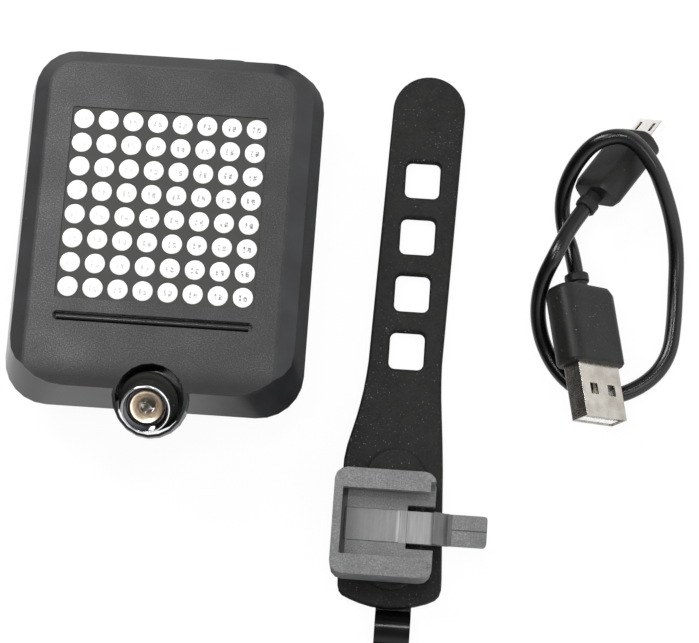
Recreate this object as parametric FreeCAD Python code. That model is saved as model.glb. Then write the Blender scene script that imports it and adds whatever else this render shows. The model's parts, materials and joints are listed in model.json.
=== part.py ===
import FreeCAD, Part
import math
import os

# Bike tail light with a clip-on strap mount and its USB charging lead.
# Millimetres. The LED matrix's centre is at X = Y = 0 while the pieces are made, Z = 0 is the table,
# and every piece is moved at the end so that the row's origin is under the middle of lamp and mount.

V = FreeCAD.Vector
UP = V(0, 0, 1)

# Lamp head: heights above the table
face_z = 26.0             # grained front face
facet_drop = 3.6          # the facets fall this far below the face
parting_z = 13.5          # widest outline, where the two housings meet
back_z = 5.6              # back of the rear housing
wall = 1.6

# Lamp head: outlines
body_half_w = 30.8        # at the parting line
body_top = 35.3
body_low = -40.0
body_corner = 9.3
front_corner = 8.0        # top corners of the flared walls, carried up to the face
front_low_corner = 11.3   # bottom corners at the face's edge
side_flare = 2.7          # from face height down to the parting line, sides
top_flare = 2.7
low_flare = 1.8
face_half_w = 25.0        # crease to crease
face_top = 29.5
crease_corner = 4.9
facet_run = 3.9
back_inset = 3.4          # the rear housing draws in this much
back_round = 2.2

# LED matrix
led_pitch = 5.08
led_count = 8
led_hole_r = 2.05
led_gap = 0.02
window_half = 20.25
window_clear = 0.15
mask_recess = 0.25
mask_flange = 1.55
mask_flange_t = 1.0
lens_recess = 0.3
chip_size = (3.5, 2.8, 1.9)

# Slot under the matrix
slot_y = -23.95
slot_half_l = 20.25
slot_w = 2.0
bar_w = 1.5
bar_flange = 0.9
bar_flange_t = 0.8

# LED board and what it carries
board_side_gap = 5.2      # board's edge inside the widest outline, at the sides
board_low_gap = 9.7
pad_board_gap = 2.1
board_z = 20.0
board_t = 1.2
board_corner = 4.0
post_edge = 3.2           # posts' centres inside the board's edges, at the sides
post_top_edge = 3.0
post_low_edge = 2.4
post_r = 2.6
screw_r = 1.0
screw_head_r = 1.9
screw_head_t = 1.3
counterbore_r = 2.2
counterbore_depth = 6.5
screw_clear = 0.15

# Charging port, cover and power button in the top wall
port_x = -10.0
port_z = 18.6
port_w = 8.4
port_h = 3.4
pad_depth = 3.9           # the flat pad behind the top wall, from the widest outline inwards
port_skin = 1.6
pad_half_w = 18.6
pad_z0 = 14.6
pad_z1 = 22.4
cover_w = 13.4
cover_h = 5.2
cover_gap = 0.25
cover_plug_depth = 1.1
button_x = 10.5
button_w = 8.0
button_h = 4.0
button_gap = 0.12
button_proud = 0.1
button_flange = 0.8
button_flange_t = 0.8
button_travel = 0.5
socket_size = (7.5, 5.6, 2.5)
socket_wall = 0.3
switch_size = (6.0, 3.6, 3.4)

# Laser
laser_tilt = 28.0         # from the lamp's normal towards its bottom
ring_x = 0.45
ring_y = -42.55
ring_z = 28.0
well_r = 6.95
well_x = 0.8
well_y = -39.55
well_floor_z = 18.6
well_wall = 1.2
boss_r = 7.6
boss_y = -39.4
boss_root_z = 14.0
boss_root_y = -36.5
boss_root_r = 4.0
boss_full_z = 20.5
collar_r = 6.0
collar_t = 2.4
nose_r = 5.0
nose_l = 4.5
barrel_r = 4.2
barrel_l = 12.6
module_r = 3.3
ring_r = 4.35             # the bezel ring's shank in the nose
ring_back = -2.9
ring_seat = -1.0
reflector_front = -1.75
reflector_back = -4.1
lens_r = 1.7
lens_z = -3.0
bore_clear = 0.05

# Battery
battery_size = (34.0, 48.0, 7.0)
battery_corner = 2.0
battery_y = -1.0
battery_pad_t = 0.8
battery_pad_z = 9.2

# Seal
seal_w = 0.8
seal_h = 0.6

# Mounting tab and the bracket that takes it
tab_w = 17.4
tab_l = 18.4
tab_t = 2.0
tab_neck_w = 13.2
tab_plate_w = 23.0
tab_plate_l = 25.0
tab_plate_t = 1.4
tab_y = -2.3
tab_screw_y = 6.0
tab_post_r = 2.2
slide_gap = 0.2
lip_t = 2.0
bracket_x0 = 38.6
bracket_l = 20.8
bracket_y = -59.5
bracket_wall = 2.0
bracket_end_wall = 1.8
bracket_corner = 2.5
bracket_floor = 2.0
bracket_screw_x = 46.6
bracket_h = 9.0
lip_setback = 1.2

# Release tongue
tongue_w = 6.6
tongue_slit = 1.2
tongue_x = 54.6           # its bending line
tongue_t = 1.4
tongue_root_r = 0.75
root_gap = 0.06
catch_x = 59.2
catch_l = 2.6
catch_h = 1.1
thumb_x = 62.2
thumb_l = 8.0
thumb_w = 6.3
thumb_t = 2.2
thumb_ridge = 0.45
glide_x = 52.4
glide_t = 0.12

# Strap
strap_t = 2.7
strap_half_w = 7.75
strap_top_y = 31.8        # centre of the round end
strap_top_x = 52.85
strap_neck_y = -24.0
strap_neck_x = 51.35
neck_end_y = -47.0
pad_x = 50.9
pad_half_width = 10.7
pad_low_y = -73.0
pad_bulge = 2.5
pad_t = 3.0
hole_w = 7.3
hole_l = 8.0
hole_corner = 1.3
hole_pitch = 12.5
hole_count = 4
first_hole_y = -21.2
bump_half_w = 6.4
bump_y0 = -72.0
bump_y1 = -42.4
bump_h = 1.4

# Hook and its base plate
hook_x = 52.2
hook_w = 7.3
hook_t = 1.5
plate_half_w = 6.2
plate_y0 = -70.5
plate_y1 = -46.0
hook_z = 0.15
hook_rise = 3.1
hook_y1 = -75.9
hook_crest_y = -79.3
hook_y2 = -83.6
head_w = 11.0
head_l = 2.4
head_t = 2.4

# Charging lead
cable_d = 3.3
micro_run = 5.2           # straight in line with each plug before the first bend
usb_run = 4.8
usb_tail = V(86.45, -6.9, 7.2)
usb_aim = V(3.42, -17.3, 1.7)
usb_roll = -42.0
usb_shell = (12.0, 4.5)
usb_shell_t = 0.35
usb_shell_out = 11.75
usb_shell_in = 3.0
usb_body = (15.7, 8.0, 17.0)
usb_body_corner = 3.0
usb_relief_l = 3.4
micro_tail = V(88.68, 13.16, 9.6)
micro_aim = V(14.08, 21.91, -5.4)
micro_roll = -45.0
micro_shell = (6.85, 1.8)
micro_shell_t = 0.25
micro_shell_out = 5.4
micro_shell_in = 2.0
micro_body = (10.6, 6.8, 17.0)
micro_body_corner = 2.4
micro_relief_l = 4.0
relief_d = 4.8

# Places that follow from the sizes above
pad_inner_y = body_top - pad_depth
pad_outer_y = pad_inner_y + port_skin
board_half_w = body_half_w - board_side_gap
board_top = pad_inner_y - pad_board_gap
board_low = body_low + board_low_gap
post_x = board_half_w - post_edge
post_top_y = board_top - post_top_edge
post_low_y = board_low + post_low_edge

# Flat sides of round pieces, and chords in each rounded corner
small_sides = 10
led_sides = 8
cable_sides = 8
relief_sides = 12
round_sides = 20
house_chords = 6
small_chords = 3
stadium_chords = 4

NODES = {}


def line(a, b):
    return Part.LineSegment(a, b).toShape()


def box(x0, x1, y0, y1, z0, z1):
    return Part.makeBox(x1 - x0, y1 - y0, z1 - z0, V(x0, y0, z0))


def skin(*outlines):
    """Solid through outlines whose edges run side by side, with a flat strip from edge to edge."""
    rings = [[v.Point for v in wire.OrderedVertexes] for wire in outlines]
    faces = [Part.Face(outlines[0]), Part.Face(outlines[-1])]
    for low, high in zip(rings, rings[1:]):
        for i in range(len(low)):
            strip = [low[i - 1], low[i], high[i], high[i - 1], low[i - 1]]
            faces.append(Part.Face(Part.makePolygon(strip)))
    shell = Part.makeShell(faces)
    shell.sewShape()
    return Part.makeSolid(shell)


def many_sided(r, z, x, y, sides):
    angles = [2 * math.pi * i / sides for i in range(sides)]
    ring = [V(x + r * math.cos(a), y + r * math.sin(a), z) for a in angles]
    return Part.makePolygon(ring + ring[:1])


def prism(r, z0, z1, x=0.0, y=0.0, sides=small_sides):
    """Upright round bar or hole in flat sides, for what is small, hidden or repeated."""
    return Part.Face(many_sided(r, z0, x, y, sides)).extrude(V(0, 0, z1 - z0))


def outline(x0, x1, y0, y1, z, r_top, r_low, chords=house_chords):
    """Closed rounded rectangle at height z; r_top is for the corners at y1, r_low for those at y0.

    Each corner is run in that many short chords, so that tapered walls between two outlines are flat
    strips. A radius of 0 gives a square corner, with its chords' points drawn together to one.
    """
    corners = [(x1, y0, r_low, -90), (x1, y1, r_top, 0), (x0, y1, r_top, 90), (x0, y0, r_low, 180)]
    ring = []
    for x, y, r, start in corners:
        cx = x - r if x == x1 else x + r
        cy = y - r if y == y1 else y + r
        for step in range(chords + 1 if r > 0 else 1):
            a = math.radians(start + 90 * step / chords)
            ring.append(V(cx + r * math.cos(a), cy + r * math.sin(a), z))
    ring.append(ring[0])
    return Part.makePolygon(ring)


def plate(x0, x1, y0, y1, z0, z1, r, chords=small_chords):
    """Flat slab with four rounded corners."""
    return Part.Face(outline(x0, x1, y0, y1, z0, r, r, chords)).extrude(V(0, 0, z1 - z0))


def stadium(x0, x1, y0, y1, z0, z1):
    """Slab with half-round ends."""
    r = min(x1 - x0, y1 - y0) / 2 - 0.001
    return plate(x0, x1, y0, y1, z0, z1, r, stadium_chords)


def fused(shapes):
    whole = shapes[0]
    if len(shapes) > 1:
        whole = shapes[0].fuse(shapes[1:])
    return whole.removeSplitter()


def turned(profile, sides=round_sides):
    """Round piece about Z in flat sides, from (radius, height) pairs up its outside."""
    rings = [(z, many_sided(r, z, 0, 0, sides)) for r, z in profile]
    return fused([skin(a, b) for (z0, a), (z1, b) in zip(rings, rings[1:]) if z1 > z0])


def wall_outline(z, inset):
    """The housings' outline at height z between the parting line and the face, drawn in by inset."""
    up = (z - parting_z) / (face_z - parting_z)
    half = body_half_w - side_flare * up - inset
    top = body_top - top_flare * up - inset
    low = body_low + low_flare * up + inset
    r_top = body_corner + (front_corner - body_corner) * up - inset
    r_low = body_corner + (front_low_corner - body_corner) * up - inset
    return outline(-half, half, low, top, z, r_top, r_low)


def front_form(inset):
    """Flared walls cut by the facets: the front's outside, or its cavity when drawn in."""
    walls = skin(wall_outline(parting_z, inset), wall_outline(face_z, inset))
    shift = inset * math.hypot(facet_run, facet_drop) / facet_drop
    depth = face_z - parting_z
    grow = facet_run * depth / facet_drop
    beyond = 2 * body_low
    half = face_half_w - shift
    top = face_top - shift
    corner = crease_corner - shift
    crease = outline(-half, half, beyond, top, face_z, corner, 0)
    foot = outline(-half - grow, half + grow, beyond, top + grow, parting_z, corner + grow, 0)
    facets = skin(foot, crease)
    form = walls.common(facets)
    if inset > 0:
        form = form.common(box(-99, 99, -99, 99, parting_z, face_z - inset))
    return form


def top_wall_y(z):
    return body_top - top_flare * (z - parting_z) / (face_z - parting_z)


def on_laser(shape):
    """From the laser's own frame, its ring's front at the origin and light along +Z."""
    placed = shape.copy()
    placed.rotate(V(0, 0, 0), V(1, 0, 0), laser_tilt)
    placed.translate(V(ring_x, ring_y, ring_z))
    return placed


def posts():
    return [(sx * post_x, y) for sx in (-1, 1) for y in (post_low_y, post_top_y)]


def laser_boss():
    low = many_sided(boss_root_r, boss_root_z, well_x, boss_root_y, round_sides)
    mid = many_sided(boss_r, boss_full_z, well_x, boss_y, round_sides)
    rim = many_sided(boss_r, face_z, well_x, boss_y, round_sides)
    boss = skin(low, mid, rim).cut(front_form(wall))
    # the rim is square to the laser's axis and starts at the face's edge
    above = box(-body_half_w, body_half_w, body_low, body_top, 0, face_z)
    above.rotate(V(0, 0, 0), V(1, 0, 0), laser_tilt)
    above.translate(V(0, well_y, face_z))
    return boss.cut(above)


def front_housing():
    shell = front_form(0).cut(front_form(wall))
    under = face_z - wall
    cup = prism(well_r + well_wall, well_floor_z - well_wall, under, well_x, well_y, round_sides)
    cup = cup.common(front_form(wall / 2))
    pad = box(-pad_half_w, pad_half_w, pad_inner_y, body_top, pad_z0, pad_z1).common(front_form(wall / 2))
    parts = [shell, laser_boss(), cup, pad]
    for x, y in posts():
        parts.append(prism(post_r, board_z + board_t, under + 0.2, x, y))
    body = fused(parts)
    cuts = [prism(well_r, well_floor_z, face_z + 5, well_x, well_y, round_sides)]
    cuts.append(on_laser(prism(barrel_r + bore_clear, -barrel_l - 2, -nose_l, sides=round_sides)))
    half = window_half
    cuts.append(plate(-half, half, -half, half, under - 1, face_z + 1, 0.5))
    cuts.append(stadium(-slot_half_l, slot_half_l, slot_y - slot_w / 2, slot_y + slot_w / 2,
                        under - 1, face_z + 1))
    for x, y in posts():
        cuts.append(prism(screw_r, 0, under - 0.2, x, y))
    port = box(port_x - port_w / 2, port_x + port_w / 2, pad_inner_y - 1, body_top + 1,
               port_z - port_h / 2, port_z + port_h / 2)
    pocket = box(port_x - cover_w / 2, port_x + cover_w / 2, pad_outer_y, body_top + 1,
                 port_z - cover_h / 2, port_z + cover_h / 2)
    cuts += [port, pocket, oblong(button_w, button_h, pad_inner_y - 1, body_top + 1)]
    return body.cut(cuts).removeSplitter()


def oblong(w, h, y0, y1):
    """Bar with half-round ends along Y, where the power button is."""
    bar = stadium(-w / 2, w / 2, -h / 2, h / 2, 0, y1 - y0)
    bar.rotate(V(0, 0, 0), V(1, 0, 0), -90)
    bar.translate(V(button_x, y0, port_z))
    return bar


def power_button():
    cap = oblong(button_w - 2 * button_gap, button_h - 2 * button_gap, pad_inner_y - 0.1,
                 top_wall_y(port_z) + button_proud)
    w = button_w + 2 * button_flange
    h = button_h + 2 * button_flange
    flange = plate(-w / 2, w / 2, -h / 2, h / 2, 0, button_flange_t, 1.5)
    flange.rotate(V(0, 0, 0), V(1, 0, 0), -90)
    flange.translate(V(button_x, pad_inner_y - 0.1 - button_flange_t, port_z))
    return fused([cap, flange])


def usb_cover():
    g = cover_gap
    flap = box(port_x - cover_w / 2 + g, port_x + cover_w / 2 - g, pad_outer_y + 0.05, body_top + 1,
               port_z - cover_h / 2 + g, port_z + cover_h / 2 - g).common(front_form(0))
    plug = box(port_x - port_w / 2 + 0.3, port_x + port_w / 2 - 0.3, pad_outer_y - cover_plug_depth,
               pad_outer_y + 0.1, port_z - port_h / 2 + 0.2, port_z + port_h / 2 - 0.2)
    return fused([flap, plug])


def rear_outline(z, i):
    corner = body_corner - i / 2
    return outline(-body_half_w + i, body_half_w - i, body_low + i, body_top - i, z, corner, corner)


def rear_housing():
    soft = back_round * (1 - math.sqrt(0.5))
    shoulder = back_inset * (1 - back_round / (parting_z - back_z))
    outer = skin(rear_outline(back_z, shoulder + back_round), rear_outline(back_z + soft, shoulder + soft),
                 rear_outline(back_z + back_round, shoulder), rear_outline(parting_z, 0))
    inner = skin(rear_outline(back_z + wall, back_inset + wall), wall_outline(parting_z, wall))
    shell = outer.cut(inner)
    parts = [shell]
    for x, y in posts():
        parts.append(prism(post_r + 0.4, back_z + 0.4, board_z, x, y))
    for y in (-tab_screw_y, tab_screw_y):
        parts.append(prism(tab_post_r, back_z + 0.4, battery_pad_z, 0, tab_y + y))
    body = fused(parts)
    cuts = []
    for x, y in posts():
        cuts.append(prism(screw_r + screw_clear, back_z, board_z + 1, x, y))
        cuts.append(prism(counterbore_r, back_z - 1, back_z + counterbore_depth, x, y))
    for y in (-tab_screw_y, tab_screw_y):
        cuts.append(prism(screw_r, back_z - 1, battery_pad_z - 0.6, 0, tab_y + y))
    middle = (wall - seal_w) / 2
    groove = Part.Face(wall_outline(parting_z, middle)).cut(
        Part.Face(wall_outline(parting_z, middle + seal_w)))
    cuts.append(groove.extrude(V(0, 0, -seal_h)))
    return body.cut(cuts).removeSplitter()


def housing_seal():
    middle = (wall - seal_w) / 2
    ring = Part.Face(wall_outline(parting_z, middle)).cut(
        Part.Face(wall_outline(parting_z, middle + seal_w)))
    return ring.extrude(V(0, 0, -seal_h))


def screw(length):
    """Pan-head screw, head up to Z = 0 and shank upwards."""
    return fused([prism(screw_head_r, -screw_head_t, 0), prism(screw_r, 0, length)])


def housing_screws():
    start = back_z + counterbore_depth
    screws = []
    for x, y in posts():
        one = screw(face_z - wall - 0.6 - start)
        one.translate(V(x, y, start))
        screws.append(one)
    return Part.makeCompound(screws)


def led_places():
    first = -(led_count - 1) / 2
    return [((first + i) * led_pitch, (first + j) * led_pitch)
            for i in range(led_count) for j in range(led_count)]


def led_mask():
    under = face_z - wall
    half = window_half - window_clear
    edge = window_half + mask_flange
    top = face_z - mask_recess
    front = plate(-half, half, -half, half, under - 0.1, top, 0.4)
    flange = plate(-edge, edge, -edge, edge, under - mask_flange_t, under, 0.8)
    body = fused([front, flange])
    holes = [prism(led_hole_r, under - 3, face_z, x, y, led_sides) for x, y in led_places()]
    return body.cut(holes)


def led_lenses():
    low = face_z - wall - mask_flange_t
    top = face_z - mask_recess - lens_recess
    return Part.makeCompound([prism(led_hole_r - led_gap, low, top, x, y, led_sides)
                              for x, y in led_places()])


def led_chips():
    l, w, h = chip_size
    base = board_z + board_t
    return Part.makeCompound([box(x - l / 2, x + l / 2, y - w / 2, y + w / 2, base, base + h)
                              for x, y in led_places()])


def led_board():
    board = plate(-board_half_w, board_half_w, board_low, board_top, board_z, board_z + board_t,
                  board_corner)
    holes = [prism(screw_r + screw_clear, board_z - 1, board_z + board_t + 1, x, y) for x, y in posts()]
    return board.cut(holes)


def slot_bar():
    under = face_z - wall
    r = bar_w / 2
    half = slot_half_l - slot_w * 0.4
    rod = Part.makeCylinder(r, 2 * half, V(-half, slot_y, face_z - 0.25 - r), V(1, 0, 0))
    stem = box(-half, half, slot_y - r, slot_y + r, under - 0.1, face_z - 0.25 - r)
    w = slot_w / 2 + bar_flange
    flange = box(-half - 1, half + 1, slot_y - w, slot_y + w, under - bar_flange_t, under)
    return fused([rod, stem, flange])


def laser_barrel():
    """Stepped barrel that shows its collar and nose above the well."""
    front = -nose_l
    back = front - collar_t
    body = turned([(barrel_r, -barrel_l), (barrel_r, back), (collar_r, back), (collar_r, front - 0.5),
                   (collar_r - 0.5, front), (nose_r, front), (nose_r, ring_seat)])
    bore = turned([(module_r, -barrel_l - 1), (module_r, ring_back), (ring_r, ring_back), (ring_r, 0)])
    return on_laser(body.cut(bore))


def laser_ring():
    """Flanged bezel ring seated in the nose, its funnel leading down to the reflector."""
    out = nose_r - 0.05
    body = turned([(ring_r, ring_back), (ring_r, ring_seat), (out, ring_seat), (out, -0.25),
                   (out - 0.25, 0)])
    funnel = turned([(module_r + 0.05, ring_back), (module_r + 0.15, ring_back / 2), (out - 0.55, 0)])
    return on_laser(body.cut(funnel))


def laser_reflector():
    body = turned([(module_r, reflector_back), (module_r, reflector_front)])
    seat = turned([(lens_r + 0.05, reflector_back), (lens_r + 0.05, lens_z - 0.4),
                   (module_r - 0.3, reflector_front)])
    return on_laser(body.cut(seat))


def laser_lens():
    """Ball lens, its two poles left flat."""
    angles = [math.radians(-75 + 30 * i) for i in range(6)]
    return on_laser(turned([(lens_r * math.cos(a), lens_z + lens_r * math.sin(a)) for a in angles],
                           small_sides))


def laser_module():
    front = reflector_back - 0.02
    body = turned([(module_r - 0.01, -barrel_l - 1), (module_r - 0.01, front)])
    return on_laser(body.cut(prism(1.3, front - 2, front + 1)))


def battery():
    w, l, h = battery_size
    z = battery_pad_z + battery_pad_t
    return plate(-w / 2, w / 2, battery_y - l / 2, battery_y + l / 2, z, z + h, battery_corner)


def battery_pad():
    w, l, h = battery_size
    return plate(-w / 2 + 2, w / 2 - 2, battery_y - l / 2 + 2, battery_y + l / 2 - 2, battery_pad_z,
                 battery_pad_z + battery_pad_t, battery_corner)


def control_chip():
    return box(4, 11, -18, -11, board_z - 1.6, board_z)


def motion_sensor():
    return box(-11, -8, -16, -12, board_z - 1.1, board_z)


def usb_socket():
    w, l, h = socket_size
    y1 = pad_inner_y - 0.1
    y0 = y1 - l
    top = board_z
    shell = box(port_x - w / 2, port_x + w / 2, y0, y1, top - h, top)
    t = socket_wall
    hollow = box(port_x - w / 2 + t, port_x + w / 2 - t, y0 + t, y1 + 1, top - h + t, top - t)
    blade = box(port_x - w / 2 + 1.6, port_x + w / 2 - 1.6, y0, y1 - 0.8, top - h / 2 - 0.3,
                top - h / 2 + 0.3)
    return fused([shell.cut(hollow), blade])


def button_switch():
    w, l, h = switch_size
    y1 = pad_inner_y - 0.1 - button_flange_t - button_travel - 0.3
    case = box(button_x - w / 2, button_x + w / 2, y1 - l, y1 - 0.4, board_z - h, board_z)
    plunger = box(button_x - 1.2, button_x + 1.2, y1 - 1, y1, port_z - 0.8, port_z + 0.6)
    return fused([case, plunger])


def mount_tab():
    z1 = back_z
    z0 = z1 - tab_plate_t
    base = plate(-tab_plate_w / 2, tab_plate_w / 2, tab_y - tab_plate_l / 2, tab_y + tab_plate_l / 2,
                 z0, z1, 2.0)
    neck = box(-tab_neck_w / 2, tab_neck_w / 2, tab_y - tab_l / 2, tab_y + tab_l / 2, tab_t - 0.1, z0 + 0.1)
    flange = plate(-tab_w / 2, tab_w / 2, tab_y - tab_l / 2, tab_y + tab_l / 2, 0, tab_t, 1.0)
    body = fused([base, neck, flange])
    for y in (-tab_screw_y, tab_screw_y):
        body = body.cut(prism(screw_r + screw_clear, -1, z1 + 1, 0, tab_y + y))
        body = body.cut(prism(counterbore_r, -1, tab_t + 0.4, 0, tab_y + y))
    return body


def tab_screws():
    start = tab_t + 0.4
    screws = []
    for y in (-tab_screw_y, tab_screw_y):
        one = screw(battery_pad_z - 0.8 - start)
        one.translate(V(0, tab_y + y, start))
        screws.append(one)
    return Part.makeCompound(screws)


# Strap mount

bump_top = pad_t + bump_h
bracket_top = bump_top + bracket_h
slot_top = bracket_top - lip_t
slot_h = tab_t + 2 * slide_gap
floor_top = slot_top - slot_h
bracket_x1 = bracket_x0 + bracket_l
slot_half = tab_w / 2 + slide_gap
mouth_half = tab_neck_w / 2 + slide_gap
bracket_half = slot_half + bracket_wall
tongue_z = floor_top - tongue_root_r


def strap_x(y):
    """Middle of the slightly leaning strap."""
    lean = (strap_top_x - strap_neck_x) / (strap_top_y - strap_neck_y)
    return strap_neck_x + (y - strap_neck_y) * lean


def strap_outline(z):
    w = strap_half_w
    top = V(strap_x(strap_top_y), strap_top_y, z)
    low = V(strap_neck_x, strap_neck_y, z)
    pl = V(pad_x - pad_half_width, neck_end_y, z)
    pr = V(pad_x + pad_half_width, neck_end_y, z)
    base_l = V(pl.x, pad_low_y, z)
    base_r = V(pr.x, pad_low_y, z)
    tl = top + V(-w, 0, 0)
    tr = top + V(w, 0, 0)
    nl = low + V(-w, 0, 0)
    nr = low + V(w, 0, 0)

    def flare(a, b):
        """Two tangent arcs, an S, from the strap's side out to the pad's."""
        mid = (a + b) * 0.5
        bow = (b.x - a.x) * 0.11
        q1 = (a + mid) * 0.5 + V(-bow, 0, 0)
        q2 = (mid + b) * 0.5 + V(bow, 0, 0)
        return [Part.Arc(a, q1, mid).toShape(), Part.Arc(mid, q2, b).toShape()]

    c = 2.5
    foot_l = V(pl.x, pad_low_y + c, z)
    foot_r = V(pr.x, pad_low_y + c, z)
    turn = c * math.sqrt(0.5)
    round_l = Part.Arc(foot_l, V(pl.x + c - turn, pad_low_y + c - turn, z), V(pl.x + c, pad_low_y, z))
    round_r = Part.Arc(V(pr.x - c, pad_low_y, z), V(pr.x - c + turn, pad_low_y + c - turn, z), foot_r)
    edges = [line(tl, nl)] + flare(nl, pl) + [line(pl, foot_l), round_l.toShape()]
    edges.append(Part.Arc(V(base_l.x + c, pad_low_y, z), V(pad_x, pad_low_y - pad_bulge, z),
                          V(base_r.x - c, pad_low_y, z)).toShape())
    edges += [round_r.toShape(), line(foot_r, pr)] + flare(pr, nr) + [line(nr, tr)]
    edges.append(Part.Arc(tr, top + V(0, w, 0), tl).toShape())
    return Part.Wire(edges)


def hole_centres():
    return [(strap_x(first_hole_y + i * hole_pitch), first_hole_y + i * hole_pitch)
            for i in range(hole_count)]


def strap():
    body = Part.Face(strap_outline(0)).extrude(V(0, 0, strap_t))
    pad = Part.Face(strap_outline(0)).extrude(V(0, 0, pad_t))
    pad = pad.common(box(0, 99, -99, neck_end_y - 2, -1, 20))
    bump = stadium(pad_x - bump_half_w, pad_x + bump_half_w, bump_y0, bump_y1, 0.5, bump_top)
    body = fused([body, pad, bump])
    cuts = []
    for x, y in hole_centres():
        cuts.append(plate(x - hole_w / 2, x + hole_w / 2, y - hole_l / 2, y + hole_l / 2, -1, strap_t + 1,
                          hole_corner))
    clear = 0.05
    cuts.append(box(pad_x - plate_half_w - clear, pad_x + plate_half_w + clear, plate_y0 - clear,
                    plate_y1 + clear, -1, hook_z + hook_t + clear))
    cuts.append(box(hook_x - hook_w / 2 - clear, hook_x + hook_w / 2 + clear, pad_low_y - 9,
                    plate_y0 + 1, -1, hook_z + hook_t + clear))
    cuts.append(prism(screw_r + 0.1, -1, bump_top + 1, bracket_screw_x, bracket_y))
    return body.cut(cuts).removeSplitter()


def hook():
    """Flat base plate, then a strip that arches up, comes down and ends in a wider head."""
    base = plate(pad_x - plate_half_w, pad_x + plate_half_w, plate_y0, plate_y1, hook_z, hook_z + hook_t,
                 1.0)
    low = hook_z
    up = hook_rise
    t = hook_t
    x0 = hook_x - hook_w / 2

    def at(y, z):
        return V(x0, y, z)

    crest = Part.Arc(at(hook_y1, low + t), at(hook_crest_y, low + t + up), at(hook_y2, low + t)).toShape()
    under = Part.Arc(at(hook_y2 + t * 0.8, low), at(hook_crest_y, low + up), at(hook_y1 - t * 0.8, low))
    side = Part.Wire([crest, line(at(hook_y2, low + t), at(hook_y2, low)),
                      line(at(hook_y2, low), at(hook_y2 + t * 0.8, low)), under.toShape(),
                      line(at(hook_y1 - t * 0.8, low), at(plate_y0 + 1, low)),
                      line(at(plate_y0 + 1, low), at(plate_y0 + 1, low + t)),
                      line(at(plate_y0 + 1, low + t), at(hook_y1, low + t))])
    strip = Part.Face(side).extrude(V(hook_w, 0, 0))
    head = plate(hook_x - head_w / 2, hook_x + head_w / 2, hook_y2 - head_l, hook_y2 + 0.4, low,
                 low + head_t, 0.8)
    body = fused([base, strip, head])
    return body.cut([prism(screw_r + 0.1, -1, 9, bracket_screw_x, bracket_y),
                     prism(counterbore_r, -1, hook_z + 0.6, bracket_screw_x, bracket_y)])


def bracket():
    low = bump_top
    y0 = bracket_y - bracket_half
    y1 = bracket_y + bracket_half
    body = plate(bracket_x0, bracket_x1, y0, y1, low, bracket_top, bracket_corner)
    inner = bracket_x0 + bracket_end_wall
    far = bracket_x1 + 5
    cuts = [box(inner, far, bracket_y - slot_half, bracket_y + slot_half, floor_top, slot_top)]
    cuts.append(box(inner, far, bracket_y - mouth_half, bracket_y + mouth_half, floor_top, bracket_top + 1))
    cuts.append(box(bracket_x1 - lip_setback, far, bracket_y - slot_half, bracket_y + slot_half,
                    floor_top, bracket_top + 1))
    side = slot_half - 1.0
    cuts.append(box(inner + 2, far, bracket_y - side, bracket_y + side, low - 1, floor_top - bracket_floor))
    slit = tongue_w / 2 + tongue_slit
    root = tongue_x - tongue_root_r - root_gap
    cuts.append(box(root, far, bracket_y - slit, bracket_y + slit, low - 1, bracket_top + 1))
    body = body.cut(cuts)
    post = prism(3.0, low, floor_top - bracket_floor + 0.1, bracket_screw_x, bracket_y)
    glide = box(inner + 0.6, glide_x, bracket_y - tongue_w / 2, bracket_y + tongue_w / 2,
                floor_top - 0.1, floor_top + glide_t)
    body = fused([body, post, glide])
    return body.cut(prism(screw_r, low - 1, floor_top - 0.5, bracket_screw_x, bracket_y))


def release_tongue():
    half = tongue_w / 2
    low = tongue_z + tongue_root_r - tongue_t
    root = Part.makeCylinder(tongue_root_r, 2 * half, V(tongue_x, bracket_y - half, tongue_z), V(0, 1, 0))
    crown = box(tongue_x - tongue_root_r, tongue_x, bracket_y - half, bracket_y + half, tongue_z,
                floor_top)
    leaf = box(tongue_x, catch_x + 0.1, bracket_y - half, bracket_y + half, low, floor_top)
    y = bracket_y - half
    points = [(catch_x, low), (catch_x, floor_top + catch_h), (catch_x + 0.5, floor_top + catch_h),
              (catch_x + catch_l, floor_top - 0.2), (thumb_x + 0.2, floor_top - 0.2), (thumb_x + 0.2, low)]
    ring = [V(x, y, z) for x, z in points]
    ring.append(ring[0])
    catch = Part.Face(Part.makePolygon(ring)).extrude(V(0, tongue_w, 0))
    t = thumb_w / 2
    base = floor_top - thumb_t + 0.3
    top = floor_top + 0.3
    section = [V(thumb_x, bracket_y - t, base), V(thumb_x, bracket_y + t, base),
               V(thumb_x, bracket_y + t, top), V(thumb_x, bracket_y, top + thumb_ridge),
               V(thumb_x, bracket_y - t, top)]
    section.append(section[0])
    thumb = Part.Face(Part.makePolygon(section)).extrude(V(thumb_l, 0, 0))
    keep = plate(thumb_x - 5, thumb_x + thumb_l, bracket_y - t, bracket_y + t, 0, 30, 0.7)
    thumb = thumb.common(keep)
    return fused([root, crown, leaf, catch, thumb])


def bracket_screw():
    one = screw(floor_top - 0.7 - hook_z - 0.6)
    head_cut = box(-9, 9, -9, 9, -9, -hook_z - 0.5)
    one = one.cut(head_cut)
    one.translate(V(bracket_screw_x, bracket_y, hook_z + 0.6))
    return one


# Charging lead

def plug_place(shape, tail, aim, roll):
    """From a plug's own frame, overmould's back at the origin and tip along +X, to where it lies."""
    heading = math.degrees(math.atan2(aim.y, aim.x))
    climb = math.degrees(math.atan2(aim.z, math.hypot(aim.x, aim.y)))
    placed = shape.copy()
    placed.rotate(V(0, 0, 0), V(1, 0, 0), roll)
    placed.rotate(V(0, 0, 0), V(0, 1, 0), -climb)
    placed.rotate(V(0, 0, 0), UP, heading)
    placed.translate(tail)
    return placed


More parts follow.
